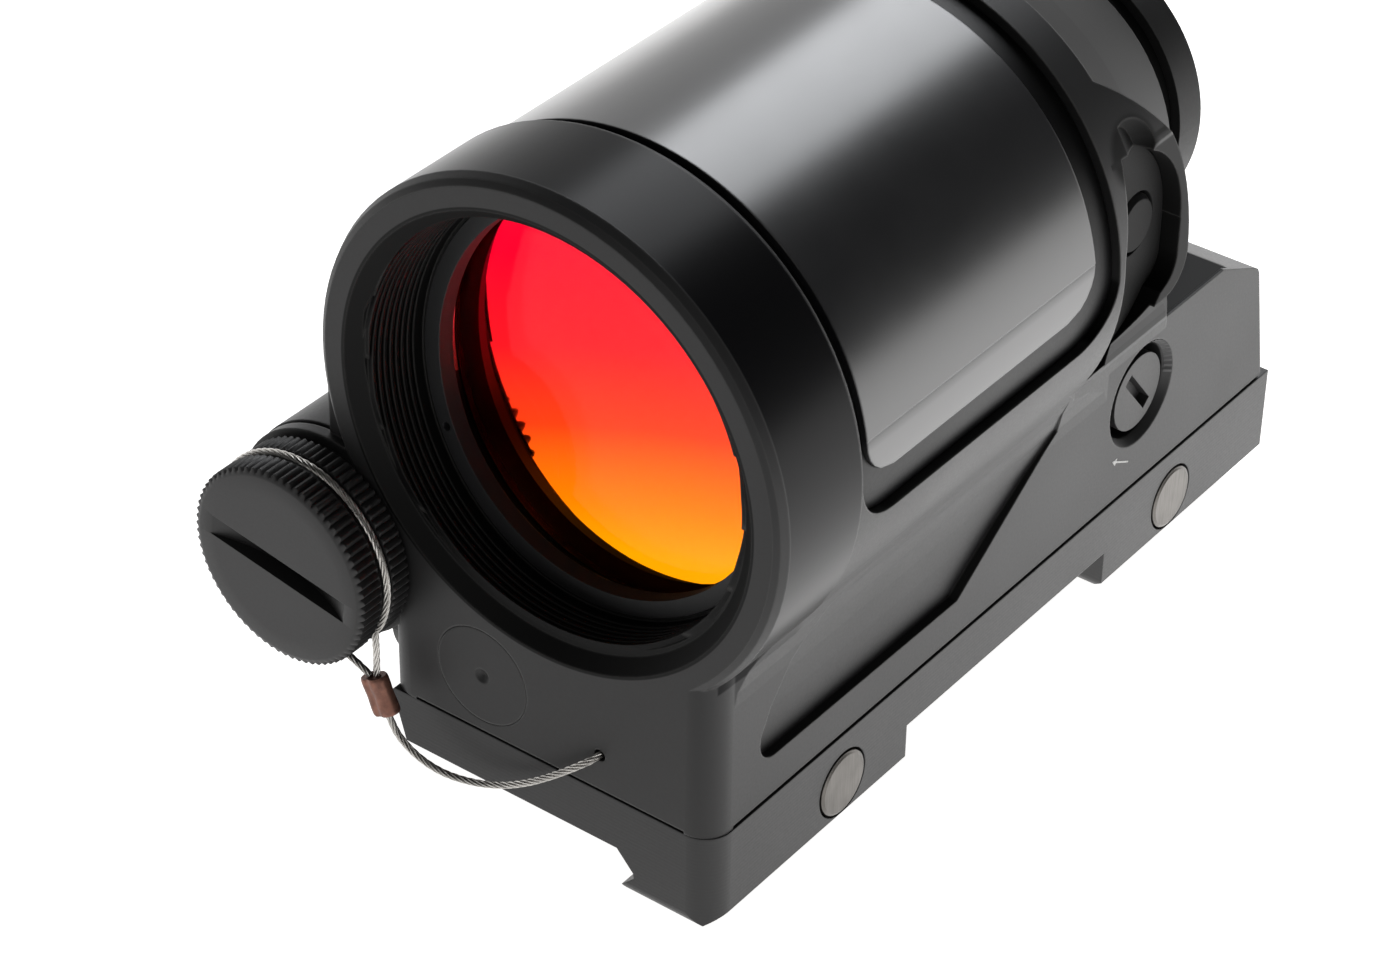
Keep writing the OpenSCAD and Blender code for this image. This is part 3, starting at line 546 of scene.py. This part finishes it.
def make_materials():
    """Every material, by its short name."""
    return {
        "housing": housing_finish(), "base": base_finish(), "cap": cap_finish(),
        "eyepiece": eyepiece_finish(),
        "gloss": gloss_finish(), "gasket": gasket_finish(), "rubber": rubber_finish(),
        "trap": trap_finish(), "coating": coating_finish(), "glass": glass_finish(),
        "steel": steel_finish("bright_steel", (0.62, 0.60, 0.57), 0.3),
        "pin": steel_finish("pin_steel", (0.118, 0.111, 0.103), 0.42, along=(0.1, 1.6, 0.1)),
        "blackened": steel_finish("blackened_steel", (0.06, 0.06, 0.062), 0.35),
        "brass": steel_finish("brass", (0.62, 0.43, 0.18), 0.3),
        "cell_steel": steel_finish("cell_steel", (0.55, 0.56, 0.58), 0.25),
        "copper": copper_finish(), "board": board_finish(), "cell": cell_finish(),
        "emitter": emitter_finish(), "mark": mark_finish(),
    }


# ---------------------------------------------------------------- mesh helpers

def piece(name, verts, faces, material, body=None, sharp=35, replaces=()):
    """A mesh piece with smooth faces and edges that stay crisp above the angle."""
    mesh = bpy.data.meshes.new(name)
    mesh.from_pydata([tuple(v) for v in verts], [], faces)
    mesh.validate()
    obj = bpy.data.objects.new(name, mesh)
    bpy.context.scene.collection.objects.link(obj)
    mesh.materials.append(material)
    crisp(mesh, sharp)
    settle(obj, body, replaces)
    return obj


def settle(obj, body, replaces):
    if body:
        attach(obj, body)
    if replaces:
        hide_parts(*replaces)


def crisp(mesh, sharp):
    """Smooth faces, with every edge above the angle kept sharp."""
    bm = bmesh.new()
    bm.from_mesh(mesh)
    bmesh.ops.recalc_face_normals(bm, faces=bm.faces)
    for face in bm.faces:
        face.smooth = True
    for edge in bm.edges:
        edge.smooth = len(edge.link_faces) == 2 and edge.calc_face_angle() < math.radians(sharp)
    bm.to_mesh(mesh)
    bm.free()


def lathe(profile, steps, centre, radius_at=None):
    """Closed solid of revolution about Y from (y, r) points that start and end on the axis."""
    verts, faces = [], []
    rings = []
    for y, r in profile:
        if r == 0:
            rings.append([len(verts)])
            verts.append(at(centre[0], y, centre[1]))
            continue
        ring = []
        for k in range(steps):
            a = 2 * math.pi * k / steps
            reach = radius_at(y, r, a) if radius_at else r
            ring.append(len(verts))
            verts.append(at(centre[0] + reach * math.cos(a), y, centre[1] + reach * math.sin(a)))
        rings.append(ring)
    for low, high in zip(rings, rings[1:]):
        for k in range(steps):
            n = (k + 1) % steps
            if len(low) == 1:
                faces.append((low[0], high[k], high[n]))
            elif len(high) == 1:
                faces.append((low[k], low[n], high[0]))
            else:
                faces.append((low[k], low[n], high[n], high[k]))
    return verts, faces


def add_bevel(obj, width, segments, angle):
    """Rounds the edges that are sharper than the angle."""
    mod = obj.modifiers.new("soft_edge", "BEVEL")
    mod.width, mod.segments, mod.limit_method = width, segments, "ANGLE"
    mod.angle_limit = math.radians(angle)
    mod.harden_normals = True


def cut(obj, verts, faces):
    """Takes a closed cutter out of a piece, for good."""
    mesh = bpy.data.meshes.new("cutter")
    mesh.from_pydata([tuple(v) for v in verts], [], faces)
    bm = bmesh.new()
    bm.from_mesh(mesh)
    bmesh.ops.recalc_face_normals(bm, faces=bm.faces)
    bm.to_mesh(mesh)
    bm.free()
    cutter = bpy.data.objects.new("cutter", mesh)
    bpy.context.scene.collection.objects.link(cutter)
    mod = obj.modifiers.new("cut", "BOOLEAN")
    mod.operation, mod.object, mod.solver = "DIFFERENCE", cutter, "EXACT"
    bpy.context.view_layer.update()
    done = bpy.data.meshes.new_from_object(
        obj.evaluated_get(bpy.context.evaluated_depsgraph_get()))
    obj.modifiers.clear()
    obj.data = done
    bpy.data.objects.remove(cutter)
    crisp(done, 35)


# ---------------------------------------------------------------- wires

def smooth_path(points, steps):
    """Catmull-Rom curve through the points."""
    out = []
    count = len(points)
    for i in range(count - 1):
        a, b = points[max(i - 1, 0)], points[i]
        c, d = points[i + 1], points[min(i + 2, count - 1)]
        for k in range(steps):
            t = k / steps
            out.append(0.5 * (2 * b + (c - a) * t + (2 * a - 5 * b + 4 * c - d) * t ** 2
                              + (3 * b - a - 3 * c + d) * t ** 3))
    out.append(points[-1].copy())
    return out


def frames(path, up):
    """A side and an upright vector at each point, carried along without twisting."""
    sides = []
    last = Vector(up)
    for i in range(len(path)):
        d = (path[min(i + 1, len(path) - 1)] - path[max(i - 1, 0)]).normalized()
        u = (last - d * last.dot(d)).normalized()
        sides.append((u, d.cross(u)))
        last = u
    return sides


def tube(path, radius, sides, around, first=0):
    """A closed round tube; around holds its two side vectors at each point of the path."""
    verts, faces = [], []
    for p, (u, v) in zip(path, around):
        for k in range(sides):
            a = 2 * math.pi * k / sides
            verts.append(p + (u * math.cos(a) + v * math.sin(a)) * radius)
    for i in range(len(path) - 1):
        for k in range(sides):
            n = (k + 1) % sides
            faces.append((first + i * sides + k, first + i * sides + n,
                          first + (i + 1) * sides + n, first + (i + 1) * sides + k))
    faces.append(tuple(first + k for k in reversed(range(sides))))
    faces.append(tuple(first + (len(path) - 1) * sides + k for k in range(sides)))
    return verts, faces


def strand_rope(path, up, sides=6):
    """Wires laid in a helix round a core, as a twisted steel cord is."""
    radius, lay = WIRE_R * MM, LAY * MM
    around = frames(path, up)
    length, run = 0.0, [0.0]
    for a, b in zip(path, path[1:]):
        length += (b - a).length
        run.append(length)
    wire = radius / 3
    verts, faces = tube(path, wire, sides, around)
    for k in range(STRANDS):
        line = []
        for p, (u, v), s in zip(path, around, run):
            a = 2 * math.pi * (k / STRANDS + s / lay)
            line.append(p + (u * math.cos(a) + v * math.sin(a)) * (radius - wire))
        more, extra = tube(line, wire * 0.9, sides, around, len(verts))
        verts += more
        faces += extra
    return verts, faces


def make_lanyard(mats):
    """The free wire from the sleeve to the hole in the front face."""
    route = [(-16.66, -3.45, 5.95), (-15.6, -3.2, 3.6), (-13.6, -2.9, 1.9), (-10.9, -2.5, 1.0),
             (-7.6, -2.1, 1.2), (-4.2, -1.8, 2.3), (-0.9, -1.6, 4.2), (2.2, -1.5, 6.6),
             (4.9, -1.2, 8.9), (6.2, -0.6, 10.0), (6.6, 0.6, 10.3), (6.6, 3.0, 10.3)]
    line = smooth_path([at(*p) for p in route], 10)
    verts, faces = strand_rope(line, (0.3, 1, 0.2))
    rope = piece("lanyard_rope", verts, faces, mats["steel"], sharp=60)
    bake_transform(rope)
    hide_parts("lanyard")


def make_wire_loop(mats):
    """The loop that lies in the cap's groove, with both legs down to the sleeve."""
    ring = [(LOOP_R * math.cos(math.radians(a)), LOOP_R * math.sin(math.radians(a)))
            for a in range(-33, 294, 6)]
    spots = [(8.7, -11.3), (8.78, -8.5)] + ring + [(6.0, -10.5), (7.95, -11.4)]
    line = smooth_path([at(TUBE[0] + x, LOOP_Y, TUBE[1] + z) for x, z in spots], 5)
    verts, faces = strand_rope(line, (0, 1, 0))
    piece("wire_loop_rope", verts, faces, mats["steel"], "cap_loop", 60,
          ["wire_loop"])


def make_ferrule(mats):
    """Copper sleeve pressed flat over the wires, with a crease along each side."""
    lean = math.radians(157)
    down = Vector((math.sin(lean), 0, math.cos(lean)))
    across = Vector((down.z, 0, -down.x))
    start, length = at(-18.3, LOOP_Y, 9.8), 4.1
    half_wide, half_thick = 1.5, 1.08
    around, along = 48, 26
    verts, faces = [], []
    for i in range(along + 1):
        s = i / along
        lip = 0.07 * max(0.0, 1 - min(s, 1 - s) / 0.05)
        wave = 0.05 * math.sin(s * math.pi * 3)
        for k in range(around):
            a = 2 * math.pi * k / around
            wide, thick = half_wide - lip, half_thick - lip + wave
            dent = 1 - 0.2 * math.exp(-((math.cos(a) - 0.12) / 0.26) ** 2)
            flat = abs(math.sin(a)) ** 0.8 * math.copysign(1, math.sin(a))
            verts.append(start + (down * length * s + across * wide * math.cos(a)
                                  + Vector((0, thick * dent * flat, 0))) * MM)
    for i in range(along):
        for k in range(around):
            n = (k + 1) % around
            faces.append((i * around + k, i * around + n,
                          (i + 1) * around + n, (i + 1) * around + k))
    faces.append(tuple(reversed(range(around))))
    faces.append(tuple(along * around + k for k in range(around)))
    piece("crimp_sleeve", verts, faces, mats["copper"], "cap_loop", 50,
          ["ferrule"])


# ---------------------------------------------------------------- battery cap

def make_cap(mats):
    """Cap with two knurled bands, a wire groove between them and a coin slot."""
    teeth, depth = 74, 0.42
    steps = teeth * 6
    front = -CAP_L
    # radii of the plain part inside the tube, of the seal's groove in it and of its bore
    neck, groove, bore = 8.7, 7.8, 6.4
    end = 6.0                # how far that part goes in

    def knurl(y, r, a):
        if r < CAP_R - 0.05 or y < front + 0.35:
            return r
        return r - depth * (1 - abs(math.sin(teeth * a / 2)))

    profile = [(front, 0), (front, 4.0), (front, 8.0), (front, CAP_R - 0.85),
               (front + 0.05, CAP_R - 0.7), (front + 0.18, CAP_R - 0.42), (front + 0.36, CAP_R),
               (-5.4, CAP_R), (-4.36, CAP_R), (-4.24, CAP_R - 0.2),
               (-4.23, GROOVE_R), (-2.67, GROOVE_R), (-2.66, CAP_R - 0.2), (-2.54, CAP_R),
               (-1.5, CAP_R), (-0.5, CAP_R), (-0.36, CAP_R - 0.5), (-0.35, neck),
               (1.2, neck), (1.2, groove), (2.2, groove), (2.2, neck), (end, neck),
               (end, bore), (1.2, bore), (1.2, 0)]
    verts, faces = lathe(profile, steps, TUBE, knurl)
    cap = piece("knurled_cap", verts, faces, mats["cap"])
    # the coin slot is cut by a disc, as a slitting saw would
    reach, half, deep, lean = 19.0, 1.15, 2.0, math.radians(10)
    verts, faces = [], []
    sides = 180
    middle = at(TUBE[0], front + deep - reach, TUBE[1])
    tilt = Matrix.Rotation(lean, 3, "Y")
    for end in (-half, half):
        for k in range(sides):
            a = 2 * math.pi * k / sides
            spot = tilt @ Vector((reach * math.cos(a), reach * math.sin(a), end))
            verts.append(middle + spot * MM)
    for k in range(sides):
        n = (k + 1) % sides
        faces.append((k, n, sides + n, sides + k))
    faces.append(tuple(reversed(range(sides))))
    faces.append(tuple(sides + k for k in range(sides)))
    cut(cap, verts, faces)
    settle(cap, "cap", ["battery_cap"])


# ---------------------------------------------------------------- objective lenses

def lens(name, front, back, sag_front, sag_back, radius, material, node, rings=26, steps=160):
    """Round lens on the tilted axis; a sag of more than 0 bulges towards the front."""
    tilt = Matrix.Rotation(-LENS_TILT - math.pi / 2, 3, "X")
    base = Vector((0, LENS_Y, AXIS_Z))
    verts, faces = [], []

    def put(r, a, v):
        spot = base + tilt @ Vector((r * math.cos(a), r * math.sin(a), v))
        verts.append(at(*spot))

    put(0, 0, front)
    for i in range(1, rings + 1):
        r = radius * i / rings
        for k in range(steps):
            put(r, 2 * math.pi * k / steps, front + sag_front * (r / radius) ** 2)
    for i in range(rings, 0, -1):
        r = radius * i / rings
        for k in range(steps):
            put(r, 2 * math.pi * k / steps, back + sag_back * (r / radius) ** 2)
    put(0, 0, back)
    last = len(verts) - 1
    for k in range(steps):
        n = (k + 1) % steps
        faces.append((0, 1 + k, 1 + n))
        for i in range(2 * rings - 1):
            low = 1 + i * steps
            faces.append((low + k, low + steps + k, low + steps + n, low + n))
        low = 1 + (2 * rings - 1) * steps
        faces.append((low + k, last, low + n))
    piece(name, verts, faces, material, "sight", 40, [node])


def make_lenses(mats):
    """A thin clear front lens and the coated mirror lens behind it, both slightly curved."""
    lens("front_lens_curved", 2.1, 4.55, 0.45, 0.0, LENS_R, mats["glass"], "lens_front")
    lens("mirror_lens_curved", 7.4, 8.0, -2.6, -2.6, LENS_R, mats["coating"],
         "lens_mirror")


# ---------------------------------------------------------------- solar window

def window_profile():
    """(x, z) points across the window from its right edge to its left, in mm."""
    low, rise = WINDOW_LOW, 4.1
    crease, lean = AXIS_Z + rise, math.asin(rise / WINDOW_R)
    side = WINDOW_R * math.cos(lean)
    right = [(side + 0.02, low), (side + 0.05, low + 0.6), (side + 0.07, low + 1.4),
             (side + 0.07, low + 2.4), (side + 0.05, low + 3.4), (side, crease - 0.22),
             (side - 0.09, crease - 0.06)]
    count = 56
    arch = []
    for i in range(count + 1):
        a = lean + (math.pi - 2 * lean) * i / count
        arch.append((WINDOW_R * math.cos(a), AXIS_Z + WINDOW_R * math.sin(a)))
    left = [(-x, z) for x, z in reversed(right)]
    return right + arch + left


def make_window(mats):
    """Arched solar window with a flat flange below a fine crease on each side."""
    profile = window_profile()
    corner, columns = 4.5, 40        # corner radius, and steps from front to rear
    verts, faces = [], []
    for x, z in profile:
        rise = min(z - WINDOW_LOW, corner)
        inset = corner - math.sqrt(max(0.0, corner ** 2 - (corner - rise) ** 2))
        y0, y1 = WINDOW_Y[0] + inset, WINDOW_Y[1] - inset
        for k in range(columns + 1):
            verts.append(at(x, y0 + (y1 - y0) * k / columns, z))
    row = columns + 1
    for i in range(len(profile) - 1):
        for k in range(columns):
            faces.append((i * row + k, i * row + k + 1, (i + 1) * row + k + 1, (i + 1) * row + k))
    window = piece("solar_window_glass", verts, faces, mats["gloss"], sharp=50)
    if window.data.polygons[len(window.data.polygons) // 2].normal.z < 0:
        window.data.flip_normals()
    shell = window.modifiers.new("thickness", "SOLIDIFY")
    shell.thickness, shell.offset = 1.7 * MM, -1
    add_bevel(window, 0.4 * MM, 3, 60)
    settle(window, "sight", ["solar_window"])


# ---------------------------------------------------------------- controls

def make_windage_scale(mats):
    """Fine teeth cut across the upper rim of the adjuster recess."""
    count, start, end = 30, math.radians(-5), math.radians(200)
    inner, outer, tooth = (5.42, SIDE_X - 0.74), (5.95, SIDE_X - 0.06), 0.09
    verts, faces = [], []
    for i in range(2 * count + 1):
        a = start + (end - start) * i / (2 * count)
        lift = tooth if i % 2 else 0.0
        for r, x in (inner, outer):
            reach = r - lift
            verts.append(at(x + lift, WIND[0] + reach * math.cos(a), WIND[1] + reach * math.sin(a)))
    for i in range(2 * count):
        faces.append((2 * i, 2 * i + 1, 2 * i + 3, 2 * i + 2))
    piece("windage_scale", verts, faces, mats["trap"], "sight", 10)


def flat_shape(name, outline, x, thick, material, body):
    """A thin plate on the right side, from (y, z) points in mm."""
    count = len(outline)
    verts = [at(x, y, z) for y, z in outline] + [at(x + thick, y, z) for y, z in outline]
    faces = [tuple(range(count)), tuple(range(count, 2 * count))]
    faces += [(k, (k + 1) % count, count + (k + 1) % count, count + k) for k in range(count)]
    return piece(name, verts, faces, material, body, 30)


def make_arrow(mats):
    """Small forward arrow beside the sideways adjuster."""
    tip, tail = Vector((68.2, 11.5)), Vector((71.5, 9.8))
    head, barb, line = 0.9, 0.42, 0.09
    along = (tail - tip).normalized()
    side = Vector((-along.y, along.x))
    neck = tip + along * head
    outline = [tip, neck + side * barb, neck + side * line, tail + side * line,
               tail - side * line, neck - side * line, neck - side * barb]
    outline = [(round(p.x, 3), round(p.y, 3)) for p in outline]
    flat_shape("windage_arrow", outline, SIDE_X - 0.01, 0.03, mats["mark"], "sight")


# ---------------------------------------------------------------- finish on the CAD parts

def dress(mats):
    """The material of each CAD part that stays."""
    plan = {
        "housing": "housing front_plug battery_tube",
        "trap": "lens_ring",
        "glass": "lens_front eyepiece_glass",
        "coating": "lens_mirror",
        "rubber": "lens_seal eyepiece_seal keypad button windage_seal elevation_seal "
                  "cap_seal base_gasket",
        "cell": "solar_cell",
        "gasket": "solar_gasket",
        "eyepiece": "eyepiece_ring",
        "steel": "dome_switch carriage_spring cap_spring clamp_springs",
        "cap": "windage_screw elevation_screw nut_front nut_rear",
        "blackened": "cross_slide led_carriage base_screws",
        "emitter": "led",
        "board": "circuit_board",
        "cell_steel": "battery",
        "brass": "battery_contact",
        "base": "base_plate clamp_bar",
        "pin": "cross_bolts",
    }
    for finish, nodes in plan.items():
        for node in nodes.split():
            mesh = NODES[node].data
            mesh.materials.clear()
            mesh.materials.append(mats[finish])


def build():
    """The whole scene: studio, materials, replaced pieces, then the finish of the CAD parts."""
    make_studio()
    mats = make_materials()
    make_lanyard(mats)
    make_wire_loop(mats)
    make_ferrule(mats)
    make_cap(mats)
    make_lenses(mats)
    make_window(mats)
    make_windage_scale(mats)
    make_arrow(mats)
    dress(mats)


build()
